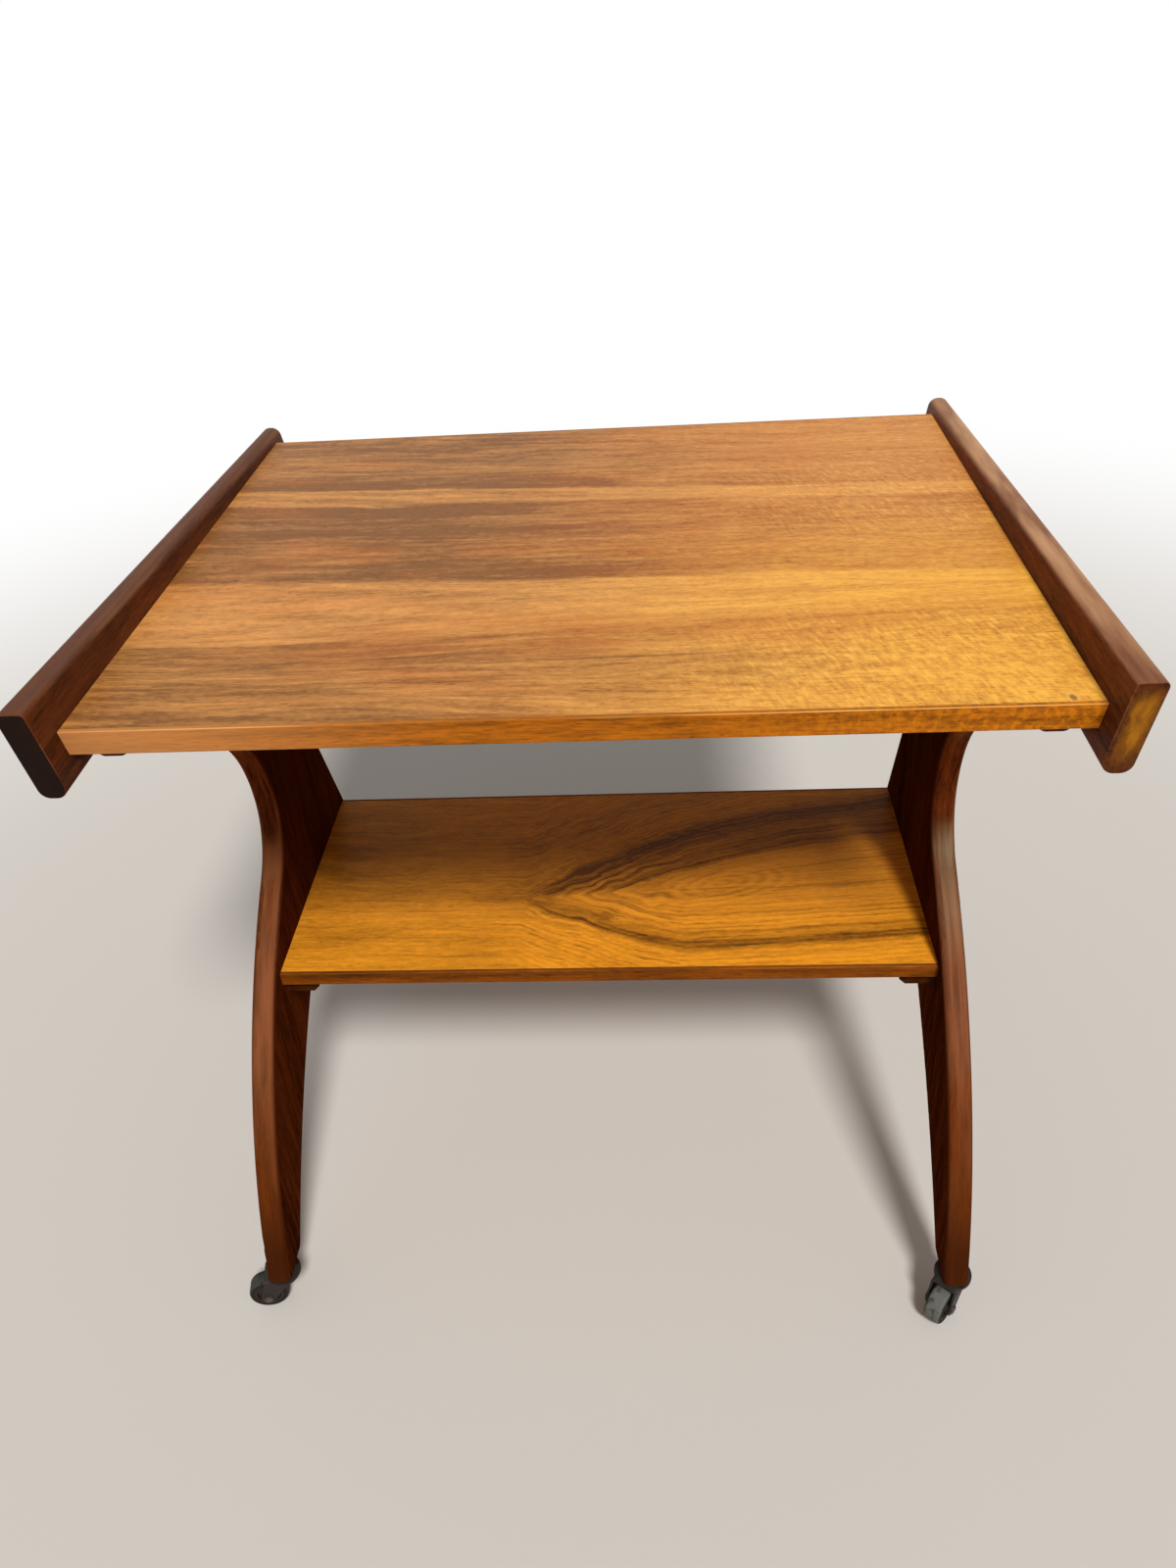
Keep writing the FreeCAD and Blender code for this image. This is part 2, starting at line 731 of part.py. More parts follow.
def leaning_ends():
    """A block past the top board in depth and height. Its ends lean like the rails and pass
    through the upper edges of the board's ends."""
    body = new_body("leaning_ends")
    sketch = sketch_on(body, "leaning_ends_section", "XZ_Plane")
    spread = S.board_thick * tan_of(S.rail_lean_angle)
    foot, foot_half = board_underside - S.board_thick, board_end - spread * 2
    head, head_half = S.board_height + S.board_thick, board_end + spread
    outline = Outline(sketch, (-foot_half, foot))
    outline.line((foot_half, foot))
    outline.line((head_half, head))
    outline.line((-head_half, head))
    outline.line((-foot_half, foot))
    outline.close()
    pad(body, sketch, S.board_depth * 2)
    return body


def trimmed(piece, block):
    """A piece cut down to what lies inside a block, or the piece itself without one."""
    if block is None:
        return piece
    common = doc.addObject("Part::Common", piece.Name + "_trimmed")
    common.Base = piece
    common.Tool = block
    return common


def lipped_board(name, length, depth, thick, bottom, holes, block=None):
    """A veneered board with a solid lipping on its front and rear edges."""
    core = box(name + "_blank", length, depth - S.lipping_thick * 2, thick, 0, 0, bottom)
    bored(trimmed(core, block), holes, name + "_board")
    for end, word in ((FRONT, "front"), (REAR, "rear")):
        edge = lipping(f"{name}_{word}_edge", length, thick)
        place(edge, 0, (depth / 2 - S.lipping_thick) * end, bottom,
              turn=0 if end == REAR else HALF_TURN)
        keep(trimmed(edge, block), f"{name}_{word}_lipping")


# --- castors --------------------------------------------------------------------------------

def fork_body(name):
    """A pressed fork: a round-ended plate over the wheel and two cheeks that trail down to
    the axle."""
    body = new_body(name)
    side = sketch_on(body, name + "_side", "XZ_Plane")
    eye = S.fork_eye_radius
    outline = Outline(side, (-S.fork_front, fork_plate_top))
    outline.line((S.fork_rear, fork_plate_top))
    outline.line((S.fork_rear, fork_plate_underside))
    outline.line((S.castor_trail + eye, axle_height), held=False)
    around_axle = outline.arc((S.castor_trail - eye, axle_height), eye, 1, smooth=True, held=False)
    outline.centre(around_axle, x=S.castor_trail, y=axle_height)
    outline.line((-S.fork_front, fork_plate_underside), smooth=True)
    outline.line((-S.fork_front, fork_plate_top))
    outline.close()
    blank = pad(body, side, fork_outer_width)

    def on_bend(edge):
        around = edge.BoundBox
        level = abs(around.ZMin - fork_plate_top.number) < 1e-6 and around.ZLength < 1e-6
        return level and around.YLength < 1e-6

    round_edges(body, blank, S.fork_bend_radius, on_bend)
    disc = sketch_on(body, name + "_disc", "XY_Plane", fork_plate_underside + S.fork_plate / 2)
    rim = disc.addGeometry(Part.Circle(FreeCAD.Vector(0, 0, 0), ABOUT_Z, S.fork_disc_radius.number))
    disc.addConstraint(Sketcher.Constraint("Coincident", rim, 3, -1, 1))
    limit(disc, "Radius", rim, value=S.fork_disc_radius)
    pad(body, disc, S.fork_plate)

    slot = sketch_on(body, name + "_slot", "XZ_Plane")
    outline = Outline(slot, (-S.wheel_diameter, as_size(0)))
    outline.line((S.wheel_diameter * 2, as_size(0)))
    outline.line((S.wheel_diameter * 2, fork_plate_underside))
    outline.line((-S.wheel_diameter, fork_plate_underside))
    outline.line((-S.wheel_diameter, as_size(0)))
    outline.close()
    cut_through(body, slot, S.fork_gap)
    return body


def castor_stem(name):
    """The stem: a shank that turns in the socket and a head closed under the fork plate."""
    shank = doc.addObject("Part::Cylinder", name + "_shank")
    bind(shank, "Radius", S.stem_diameter / 2)
    bind(shank, "Height", S.fork_plate + S.stem_length)
    place(shank, 0, 0, fork_plate_underside)
    head = doc.addObject("Part::Cylinder", name + "_head")
    bind(head, "Radius", S.stem_head_diameter / 2)
    bind(head, "Height", S.stem_head_thick)
    place(head, 0, 0, fork_plate_underside - S.stem_head_thick)
    return fuse(name, [shank, head])


def castor_socket(name):
    """The socket: a flanged sleeve that is driven up into the foot of the leg."""
    sleeve = doc.addObject("Part::Cylinder", name + "_sleeve")
    bind(sleeve, "Radius", S.socket_diameter / 2)
    bind(sleeve, "Height", S.socket_length)
    place(sleeve, 0, 0, foot_height)
    flange = doc.addObject("Part::Cylinder", name + "_flange")
    bind(flange, "Radius", S.socket_flange_diameter / 2)
    bind(flange, "Height", S.socket_flange_thick)
    place(flange, 0, 0, flange_underside)
    hole = doc.addObject("Part::Cylinder", name + "_hole")
    bind(hole, "Radius", S.stem_diameter / 2 + S.stem_clearance)
    bind(hole, "Height", S.socket_length + S.socket_flange_thick)
    place(hole, 0, 0, flange_underside)
    socket = doc.addObject("Part::Cut", name)
    socket.Base = fuse(name + "_blank", [sleeve, flange])
    socket.Tool = hole
    return socket


def wheel_core(name):
    """The wheel's core: a hub, a thinner web and a rim, turned about the axle."""
    body = new_body(name)
    bore = S.axle_diameter / 2 + S.axle_clearance
    hub, rim = S.hub_diameter / 2, S.core_diameter / 2
    rim_inner = rim - S.core_rim
    hub_half, web_half, rim_half = S.hub_width / 2, S.core_web / 2, S.tyre_width / 2 - S.core_rim_inset
    turn_profile(body, [
        (-hub_half, bore), (-hub_half, hub), (-web_half, hub), (-web_half, rim_inner),
        (-rim_half, rim_inner), (-rim_half, rim), (rim_half, rim), (rim_half, rim_inner),
        (web_half, rim_inner), (web_half, hub), (hub_half, hub), (hub_half, bore)], name + "_profile")
    return body


def tyre(name):
    """The tyre: a ring with rounded shoulders on the wheel's core."""
    body = new_body(name)
    sketch = sketch_on(body, name + "_profile", "YZ_Plane")
    inner = S.core_diameter / 2 + S.tyre_clearance
    outer, half = S.wheel_diameter / 2, S.tyre_width / 2
    shoulder = S.tyre_radius
    outline = Outline(sketch, (-half, inner))
    outline.line((half, inner))
    outline.line((half, outer - shoulder))
    outline.arc((half - shoulder, outer), shoulder, -1)
    outline.line((shoulder - half, outer))
    outline.arc((-half, outer - shoulder), shoulder, -1)
    outline.line((-half, inner))
    outline.close()
    ring = body.newObject("PartDesign::Revolution", name + "_ring")
    ring.Profile = sketch
    ring.ReferenceAxis = (sketch, ["H_Axis"])
    ring.Angle = 360
    return body


def axle_pin(name):
    """The axle: a pin through both cheeks with a closed head on each end."""
    body = new_body(name)
    pin, head = S.axle_diameter / 2, S.axle_head_diameter / 2
    neck = fork_outer_width / 2
    end = neck + S.axle_head_thick
    centre = as_size(0)
    turn_profile(body, [
        (-end, centre), (-end, head), (-neck, head), (-neck, pin),
        (neck, pin), (neck, head), (end, head), (end, centre)], name + "_profile")
    return body


def make_castor(side, end, corner, swivel):
    """One castor under one foot, trailing the way its swivel angle says."""
    x, y = frame_middle * side, castor_reach * end
    wheel_x = x + S.castor_trail * cos_of(swivel)
    wheel_y = y + S.castor_trail * sin_of(swivel)

    fork = fork_body(f"fork_blank_{corner}")
    axle_bore = doc.addObject("Part::Cylinder", f"axle_bore_{corner}")
    bind(axle_bore, "Radius", S.axle_diameter / 2 + S.axle_clearance)
    bind(axle_bore, "Height", fork_outer_width * 2)
    place(axle_bore, S.castor_trail, fork_outer_width, axle_height,
          turn=90, axis=FreeCAD.Vector(1, 0, 0))
    stem_bore = doc.addObject("Part::Cylinder", f"stem_bore_{corner}")
    bind(stem_bore, "Radius", S.stem_diameter / 2 + S.stem_clearance)
    bind(stem_bore, "Height", fork_plate_top)
    drilled = doc.addObject("Part::Cut", f"fork_drilled_{corner}")
    drilled.Base = fork
    drilled.Tool = fuse(f"fork_bores_{corner}", [axle_bore, stem_bore])
    place(keep(drilled, f"castor_fork_{corner}"), x, y, 0, turn=swivel)

    place(keep(castor_stem(f"stem_{corner}"), f"castor_stem_{corner}"), x, y, 0, turn=swivel)
    place(keep(castor_socket(f"socket_{corner}"), f"castor_socket_{corner}"), x, y, 0)
    place(keep(axle_pin(f"axle_{corner}"), f"castor_axle_{corner}"),
          wheel_x, wheel_y, axle_height, turn=swivel)
    place(keep(wheel_core(f"core_{corner}"), f"wheel_core_{corner}"),
          wheel_x, wheel_y, axle_height, turn=swivel)
    place(keep(tyre(f"ring_{corner}"), f"wheel_tyre_{corner}"),
          wheel_x, wheel_y, axle_height, turn=swivel)


# --- the trolley ----------------------------------------------------------------------------

rail_bores = make_rails()
frame_holes, top_holes, shelf_holes = make_cleats()
make_end_frames(frame_holes)
lipped_board("top", S.board_length, S.board_depth, S.board_thick, board_underside,
             rail_bores + top_holes, leaning_ends())
lipped_board("shelf", shelf_length, S.shelf_depth, S.shelf_thick, shelf_underside, shelf_holes)
make_castor(LEFT, FRONT, "front_left", S.front_left_swivel_angle)
make_castor(RIGHT, FRONT, "front_right", S.front_right_swivel_angle)
make_castor(LEFT, REAR, "rear_left", S.rear_left_swivel_angle)
make_castor(RIGHT, REAR, "rear_right", S.rear_right_swivel_angle)

doc.recompute()
faults = [f"{each.Name}: {each.State}" for each in doc.Objects
          if "Invalid" in each.State or "Error" in each.State]
faults += [f"{node.Label}: no valid shape" for node in nodes
           if node.Shape.isNull() or not node.Shape.isValid() or not node.Shape.Solids]
if faults:
    raise RuntimeError("; ".join(faults))

os.makedirs("parts", exist_ok=True)
for node in nodes:
    node.Shape.exportStep(f"parts/{node.Label}.step")
    print(node.Label, len(node.Shape.Solids), round(node.Shape.Volume))
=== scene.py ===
# %% [markdown]
# # A two-tier tea trolley
#
# The joinery of this trolley is already solid: top board, handle rails, legs, shelf and castors
# arrive as a packed model. They could be modelled here once more, but then looks and joints
# would no longer agree, so the model is loaded and its shapes are left alone. What Blender adds
# is how the trolley looks. We place the camera, write a small helper for shader maths, give
# every kind of wood and metal a finish of its own, and light the room.

# %% Load the packed model
import json
import math

import bpy
import numpy as np
from mathutils import Matrix, Vector

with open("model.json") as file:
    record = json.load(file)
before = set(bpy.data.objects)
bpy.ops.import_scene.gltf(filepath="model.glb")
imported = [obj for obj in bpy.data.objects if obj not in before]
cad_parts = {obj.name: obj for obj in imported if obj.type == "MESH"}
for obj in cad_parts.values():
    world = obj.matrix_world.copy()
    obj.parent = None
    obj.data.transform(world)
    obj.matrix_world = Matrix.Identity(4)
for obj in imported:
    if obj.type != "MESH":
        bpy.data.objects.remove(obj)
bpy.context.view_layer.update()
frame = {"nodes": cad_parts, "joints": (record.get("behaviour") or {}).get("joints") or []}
nodes = frame["nodes"]

# %% [markdown]
# ## Camera
#
# The trolley is looked at from a little over a metre up, from in front and slightly to the
# right, with the camera tipped down and rolled a few degrees. A camera in Blender looks along
# its own -Z with +Y up, so its turn is a matrix whose columns are the right, up and backward
# directions. Three Euler angles could give that turn too. Yaw, pitch and roll give the three
# directions one by one instead, which is easier to check.

# %% Place the camera
EYE = (0.06869, -0.9960, 1.13403)
YAW, PITCH, ROLL = (math.radians(angle) for angle in (-4.75, 35.03, -4.09))
FILM_WIDTH, FOCAL_LENGTH = 36, 36


def look(yaw, pitch, roll):
    """Turn of a camera: forward = yaw about Z after tipping down, then rolled about forward."""
    forward = Vector((math.sin(yaw) * math.cos(pitch), math.cos(yaw) * math.cos(pitch),
                      -math.sin(pitch)))
    level = Vector((math.cos(yaw), -math.sin(yaw), 0))
    rise = level.cross(forward)
    right = level * math.cos(roll) + rise * math.sin(roll)
    up = rise * math.cos(roll) - level * math.sin(roll)
    return Matrix((right, up, -forward)).transposed().to_4x4()


lens = bpy.data.cameras.new("lens")
lens.sensor_fit = "HORIZONTAL"
lens.sensor_width = FILM_WIDTH
lens.lens = FOCAL_LENGTH
lens.clip_start = 0.01
camera = bpy.data.objects.new("camera", lens)
camera.matrix_world = Matrix.Translation(EYE) @ look(YAW, PITCH, ROLL)
bpy.context.scene.collection.objects.link(camera)
bpy.context.scene.camera = camera
bpy.context.scene.view_settings.view_transform = "Standard"
print("camera at", [round(c, 3) for c in EYE])

# %% [markdown]
# ## Shader maths in plain Python
#
# A procedural finish is a lot of arithmetic: blend, stretch, limit, mix. It could be wired node
# by node, which is slow to write and slower to read. So one small class wraps a socket and lets
# Python's operators add the Math nodes, and `1 - mask` or `grain * 0.3 + band` reads as it
# would on paper. Every other kind of node is added by one method, which sets the node's own
# settings before its sockets. The world has nodes as well, so that method belongs to a class of
# its own, and a finish builds on it.

# %% A socket that can be calculated with


class Wire:
    """An output socket of a node, with +, -, *, / and ** that add Math nodes."""

    def __init__(self, owner, socket):
        self.owner, self.socket = owner, socket

    def math(self, operation, *others, clamp=False):
        values = dict(enumerate((self, *others)))
        return self.owner.add("Math", dict(operation=operation, use_clamp=clamp), values)

    def __add__(self, other):
        return self.math("ADD", other)

    def __sub__(self, other):
        return self.math("SUBTRACT", other)

    def __mul__(self, other):
        return self.math("MULTIPLY", other)

    def __truediv__(self, other):
        return self.math("DIVIDE", other)

    def __rsub__(self, other):
        return self.owner.add("Math", dict(operation="SUBTRACT"), {0: other, 1: self})

    def __pow__(self, other):
        return self.math("POWER", other)

    def __abs__(self):
        return self.math("ABSOLUTE")

    __radd__ = __add__
    __rmul__ = __mul__

    def clamp(self):
        return self.math("ADD", 0, clamp=True)

    def most(self, other):
        return self.math("MAXIMUM", other)

    def sine(self):
        return self.math("SINE")

    def step(self, low, high):
        """0 below low, 1 above high, and a smooth ramp between them. It falls if low > high."""
        to = (1, 0) if low > high else (0, 1)
        values = {"Value": self, "From Min": min(low, high), "From Max": max(low, high),
                  "To Min": to[0], "To Max": to[1]}
        return self.owner.add("MapRange", dict(interpolation_type="SMOOTHSTEP"), values)


print("Wire knows", [name for name in vars(Wire) if not name.startswith("_")])

# %% A node tree whose nodes are added by type


class NodeTree:
    """The nodes of a material or of the world, with one method that adds a node of any type."""

    def __init__(self, tree):
        self.tree = tree

    def node(self, kind, settings=None, values=None):
        """Add a node: its settings first, a ramp's stops among them, then values or links."""
        made = self.tree.nodes.new("ShaderNode" + kind)
        settings = dict(settings or {})
        stops = settings.pop("stops", None)
        for name, value in settings.items():
            setattr(made, name, value)
        if stops:
            ramp = made.color_ramp
            while len(ramp.elements) < len(stops):
                ramp.elements.new(0.5)
            for element, (position, colour) in zip(ramp.elements, stops):
                element.position = position
                element.color = colour
        for key, value in (values or {}).items():
            self.feed(made.inputs[key], value)
        return made

    def add(self, kind, settings=None, values=None, out=0):
        """Add a node and return one of its outputs, ready to calculate with."""
        return Wire(self, self.node(kind, settings, values).outputs[out])

    def feed(self, socket, value):
        """Give a socket a wire, another node's socket or a constant."""
        if isinstance(value, Wire):
            self.tree.links.new(value.socket, socket)
        elif hasattr(value, "is_linked"):
            self.tree.links.new(value, socket)
        else:
            socket.default_value = value

    def parts(self, vector):
        """The x, y and z of a vector, each ready to calculate with."""
        outputs = self.node("SeparateXYZ", values={"Vector": vector}).outputs
        return [Wire(self, output) for output in outputs]

    def joined(self, *parts):
        """A vector from up to three parts, the rest of which are 0."""
        return self.add("CombineXYZ", values=dict(enumerate(parts)))


print("NodeTree knows", [name for name in vars(NodeTree) if not name.startswith("_")])

# %% A finish is a material and its nodes


def tone(red, green, blue):
    """A colour from 0-255 screen values, as the linear colour that a shader wants."""
    screen = np.array((red, green, blue)) / 255
    linear = np.where(screen <= 0.04045, screen / 12.92, ((screen + 0.055) / 1.055) ** 2.4)
    return (*(float(part) for part in linear), 1.0)


class Finish(NodeTree):
    """A material with its Principled shader ready. Its constants are set on that shader."""

    def __init__(self, name, **constants):
        self.material = bpy.data.materials.new(name)
        self.material.use_nodes = True
        super().__init__(self.material.node_tree)
        self.shader = self.tree.nodes["Principled BSDF"]
        for socket, value in constants.items():
            self.shader.inputs[socket.replace("_", " ")].default_value = value
        self.place = self.node("TexCoord").outputs

    def show(self, **values):
        """Feed the shader's own sockets, such as Base_Color or Roughness."""
        for socket, value in values.items():
            self.feed(self.shader.inputs[socket.replace("_", " ")], value)

    def wear(self, node):
        """Put this finish on a node, on every material slot that it has."""
        for slot in node.material_slots:
            slot.material = self.material
        if not node.material_slots:
            node.data.materials.append(self.material)


print("a mid brown is", [round(part, 3) for part in tone(140, 90, 50)[:3]])

# %% [markdown]
# ## Wood as a stretched pattern
#
# Timber is a bundle of fibres, so nearly everything that is seen on a board is a pattern pulled
# out along the grain: slow bands, finer streaks, short pores. Blender's Wave texture draws
# stripes too, but evenly, and no two streaks of real wood are alike. Stretched noise has no such
# order. One helper stretches it, by its waves per metre along the grain and across it, and every
# wood here is made of a few such layers.

# %% Grain helpers


def stretched(finish, place, along, across, detail, rough, seed=0.0):
    """Noise with so many waves per metre along the first axis and across the other two."""
    pulled = finish.add("Mapping", values={
        "Vector": place, "Location": (seed, seed * 0.7, seed * 0.3),
        "Scale": (along, across, across)})
    return finish.add("TexNoise", dict(noise_dimensions="3D"), {
        "Vector": pulled, "Scale": 1.0, "Detail": detail, "Roughness": rough})


def contrast(noise, gain):
    """Noise about 0 instead of 0.5, and stronger."""
    return (noise - 0.5) * gain


def swings(finish, place, *rows):
    """One noise about 0 for each row of (along, across, detail, roughness, seed, gain)."""
    return [contrast(stretched(finish, place, *row[:5]), row[5]) for row in rows]


def mixed(finish, factor, first, second):
    """Colour that goes from the first to the second one as the factor goes from 0 to 1."""
    return finish.add("Mix", dict(data_type="RGBA"), {0: factor, 6: first, 7: second}, out=2)


def relief(finish, height, distance, strength):
    """Bump from a height between 0 and 1 that stands for a distance in metres."""
    finish.show(Normal=finish.add("Bump", values={
        "Strength": strength, "Distance": distance, "Height": height}))


print("grain helpers ready")

# %% [markdown]
# ## Top veneer
#
# The top is walnut veneer with its grain from rail to rail. Brown and golden bands run along
# it, each with one sharp side where the log's colour changed, and towards the right they fade
# into a golden field that is crossed by a fine ripple. Noise alone could draw bands, but not at
# these places, and bands painted on a picture would be coarse from close by. So three things
# draw them. A slope for each depth tilts the bands, slow noise makes them wander together, and
# two ramps over the bent depth say how dark the wood is at the left and at the right.

# %% Say where the bands lie
DEPTH = (-0.305, 0.305)
SLOPES = ((-0.305, 0.06), (-0.165, -0.045), (-0.075, 0.055), (0.000, 0.030), (0.093, 0.030),
          (0.130, 0.080), (0.305, 0.06))
LEFT_BANDS = ((-0.305, 0.66), (-0.286, 0.44), (-0.268, 0.60), (-0.235, 0.42), (-0.212, 0.52),
              (-0.190, 0.56), (-0.171, 0.74), (-0.165, 0.20), (-0.120, 0.13), (-0.083, 0.20),
              (-0.076, 0.86), (-0.052, 0.86), (-0.036, 0.60), (-0.010, 0.82), (0.008, 0.66),
              (0.026, 0.90), (0.050, 0.60), (0.072, 0.86), (0.090, 0.90), (0.094, 0.26),
              (0.125, 0.22), (0.130, 0.92), (0.152, 0.80), (0.185, 0.52), (0.220, 0.56),
              (0.260, 0.66), (0.305, 0.58))
RIGHT_BANDS = ((-0.305, 0.10), (-0.240, 0.08), (-0.200, 0.22), (-0.175, 0.34), (-0.165, 0.26),
               (-0.130, 0.06), (-0.112, 0.30), (-0.108, 0.08), (-0.083, 0.12), (-0.074, 0.44),
               (-0.040, 0.40), (0.000, 0.44), (0.050, 0.38), (0.085, 0.44), (0.094, 0.10),
               (0.125, 0.06), (0.134, 0.36), (0.180, 0.34), (0.230, 0.30), (0.305, 0.36))


def profile(finish, place, values, span=DEPTH):
    """A ramp that reads a list of (place, value) pairs, with values from 0 to 1."""
    low, high = span
    stops = [((at - low) / (high - low), (value, value, value, 1.0)) for at, value in values]
    return finish.add("ValToRGB", dict(stops=stops), {"Fac": (place - low) / (high - low)})


print("stops of the bands:", len(LEFT_BANDS), "at the left,", len(RIGHT_BANDS), "at the right")

# %% Bend the bands


def bent_bands(finish, x, y):
    """A place's depth after bending, and how far it belongs to the left part, from 0 to 1."""
    place = finish.place["Object"]
    wander, border = swings(finish, place, (2.6, 11, 2, 0.5, 3.1, 0.034),
                            (4, 14, 2, 0.5, 6.6, 0.34))
    slope = profile(finish, y, [(at, value + 0.5) for at, value in SLOPES]) - 0.5
    return y + x * slope + wander, (x + border).step(0.26, -0.14)


print("bands tilt by", [value for at, value in SLOPES], "from the front to the back")

# %% Make the top veneer
GOLDEN, DULL_GOLDEN, BRIGHT_GOLDEN = tone(242, 172, 88), tone(228, 158, 84), tone(255, 186, 72)
BROWN, RED_BROWN, DEEP = tone(132, 84, 40), tone(168, 88, 26), tone(84, 48, 20)
RIPPLE_LIGHT, REDDISH, GREENISH = tone(255, 206, 108), tone(196, 106, 40), tone(134, 100, 54)
KNOT, KNOT_RIM = (0.345, -0.296), tone(250, 190, 100)


def make_top_veneer():
    finish = Finish("top_veneer", Specular_IOR_Level=0.08, Coat_Weight=0.012, Coat_Roughness=0.3)
    place = finish.place["Object"]
    x, y, z = finish.parts(place)
    bent, left = bent_bands(finish, x, y)
    bands = (profile(finish, bent, LEFT_BANDS) * left
             + profile(finish, bent, RIGHT_BANDS) * (1 - left))
    # the grain follows the bands: patches break them up, then streaks, flecks and fibres
    grain = finish.joined(x, bent, z)
    patches, streaks, flecks, fibres = swings(
        finish, grain, (7, 26, 3, 0.6, 4.5, 1.5), (11, 120, 4, 0.68, 7.7, 1.6),
        (120, 260, 3, 0.7, 1.9, 1.5), (36, 800, 2, 0.7, 1.3, 1.2))
    bands = bands * (0.98 + patches * 0.80)
    # ripple: bars across the grain, slanting a little, in the front right and the right
    slant = finish.joined(x + y * 0.3, y, z)
    ripple, = swings(finish, slant, (230, 70, 3, 0.6, 2.6, 2.4))
    front = x.step(0.0, 0.20) * y.step(-0.12, -0.20)
    middle = x.step(0.06, 0.26) * y.step(0.22, 0.12) * y.step(-0.05, 0.03) * 0.7
    zone = (front + middle).clamp()
    dark = (bands + streaks * (0.48 + left * 0.55) + flecks * 0.55 + fibres * 0.50
            - ripple * zone * 0.52 + zone * 0.05 + left * 0.05 + y.step(-0.08, 0.10) * 0.08
            + 0.10).clamp()
    golden = mixed(finish, left, GOLDEN, DULL_GOLDEN)
    golden = mixed(finish, x.step(-0.12, 0.34) * y.step(0.14, -0.16), golden, BRIGHT_GOLDEN)
    wood = mixed(finish, dark, golden, mixed(finish, left, RED_BROWN, BROWN))
    wood = mixed(finish, ripple.step(0.15, 0.8) * zone * 0.45, wood, RIPPLE_LIGHT)
    # slow changes of hue: redder here, greener brown there
    hue = stretched(finish, place, 5, 13, 3, 0.6, 8.2)
    wood = mixed(finish, hue.step(0.50, 0.72) * 0.30, wood, REDDISH)
    wood = mixed(finish, hue.step(0.46, 0.28) * left * 0.35, wood, GREENISH)
    # thin dark lines run most of the way along the board, densest at the front left
    lines = stretched(finish, grain, 4.5, 170, 3, 0.6, 9.4).step(0.58, 0.72)
    lined = 0.22 + left * (0.28 + y.step(-0.12, -0.26) * 0.50)
    wood = mixed(finish, (lines * lined * 0.65).clamp(), wood, DEEP)
    # pores are short dark dashes, seen most in the darker wood
    pores = stretched(finish, grain, 110, 900, 2, 0.65, 5.2).step(0.56, 0.72)
    wood = mixed(finish, pores * (0.28 + dark * 0.40), wood, DEEP)
    # one small pin knot near the front right corner, with a pale rim
    away = ((x - KNOT[0]) ** 2 * 3 + (y - KNOT[1]) ** 2) ** 0.5 + fibres * 0.0014
    wood = mixed(finish, away.step(0.010, 0.006) * 0.4, wood, KNOT_RIM)
    wood = mixed(finish, away.step(0.0056, 0.0024) * 0.65, wood, DEEP)
    finish.show(Base_Color=wood, Roughness=0.42 + streaks * 0.08 + pores * 0.12)
    relief(finish, fibres * 0.4 - pores * 0.6, 0.0003, 0.35)
    return finish


top_veneer = make_top_veneer()
top_veneer.wear(nodes["top_board"])
print("top veneer:", len(top_veneer.tree.nodes), "nodes")

# %% [markdown]
# ## Shelf veneer
#
# The shelf is cut from near a branch, so its rings draw one long pointed oval that opens to the
# right around a golden eye. The distance from one point could give rings, but those would be
# circles without a tip. Here they are the level lines of a formula. Let w(x) be the oval's half
# width, nothing left of its tip. Then e = |distance from the axis| - w(x) is 0 on the oval,
# negative inside and positive outside, and its level lines are those of the wood: nested ovals
# with blunter tips inside, and lines that flatten into straight grain outside. One ramp over e
# darkens the rear half, where the rings run together in a smoky band, and another one the front
# half.

# %% Say where the rings lie
LENGTH, LEVELS, SHELF_DEPTH = (-0.335, 0.335), (-0.12, 0.20), (-0.15, 0.15)
AXIS = ((-0.335, -0.034), (-0.080, -0.039), (0.000, -0.033), (0.075, -0.026), (0.190, -0.003),
        (0.335, 0.014))
HALF_WIDTH = ((-0.335, 0.0), (-0.088, 0.0), (-0.065, 0.016), (0.000, 0.053), (0.040, 0.076),
              (0.085, 0.093), (0.190, 0.108), (0.335, 0.114))
REAR_RINGS = ((-0.120, 0.16), (-0.085, 0.10), (-0.068, 0.26), (-0.060, 0.80), (-0.054, 0.62),
              (-0.042, 0.74), (-0.030, 0.60), (-0.020, 0.78), (-0.010, 0.86), (-0.003, 1.00),
              (0.004, 0.84), (0.016, 0.52), (0.040, 0.44), (0.075, 0.52), (0.120, 0.40),
              (0.200, 0.44))
FRONT_RINGS = ((-0.120, 0.14), (-0.088, 0.10), (-0.078, 0.28), (-0.070, 0.10), (-0.052, 0.14),
               (-0.046, 0.42), (-0.040, 0.14), (-0.026, 0.18), (-0.017, 0.56), (-0.012, 0.34),
               (-0.004, 0.80), (0.003, 0.74), (0.010, 0.22), (0.030, 0.14), (0.050, 0.26),
               (0.070, 0.16), (0.110, 0.22), (0.200, 0.20))
PLAIN_BANDS = ((-0.15, 0.22), (-0.10, 0.42), (-0.06, 0.34), (-0.02, 0.50), (0.02, 0.56),
               (0.15, 0.40))
EYE_OF_RINGS = 0.125


def ring_place(finish, x, y, slow):
    """How far a place is to the side of the rings' axis, and the oval's half width there."""
    scale = 5  # a ramp holds 0 to 1, so that metres are stored larger
    axis = profile(finish, x, [(at, value * scale + 0.5) for at, value in AXIS], LENGTH) - 0.5
    half = profile(finish, x, [(at, value * scale) for at, value in HALF_WIDTH], LENGTH)
    return y - axis / scale + slow * 0.016, half / scale


print("the oval opens to", 2 * HALF_WIDTH[-1][1], "m")

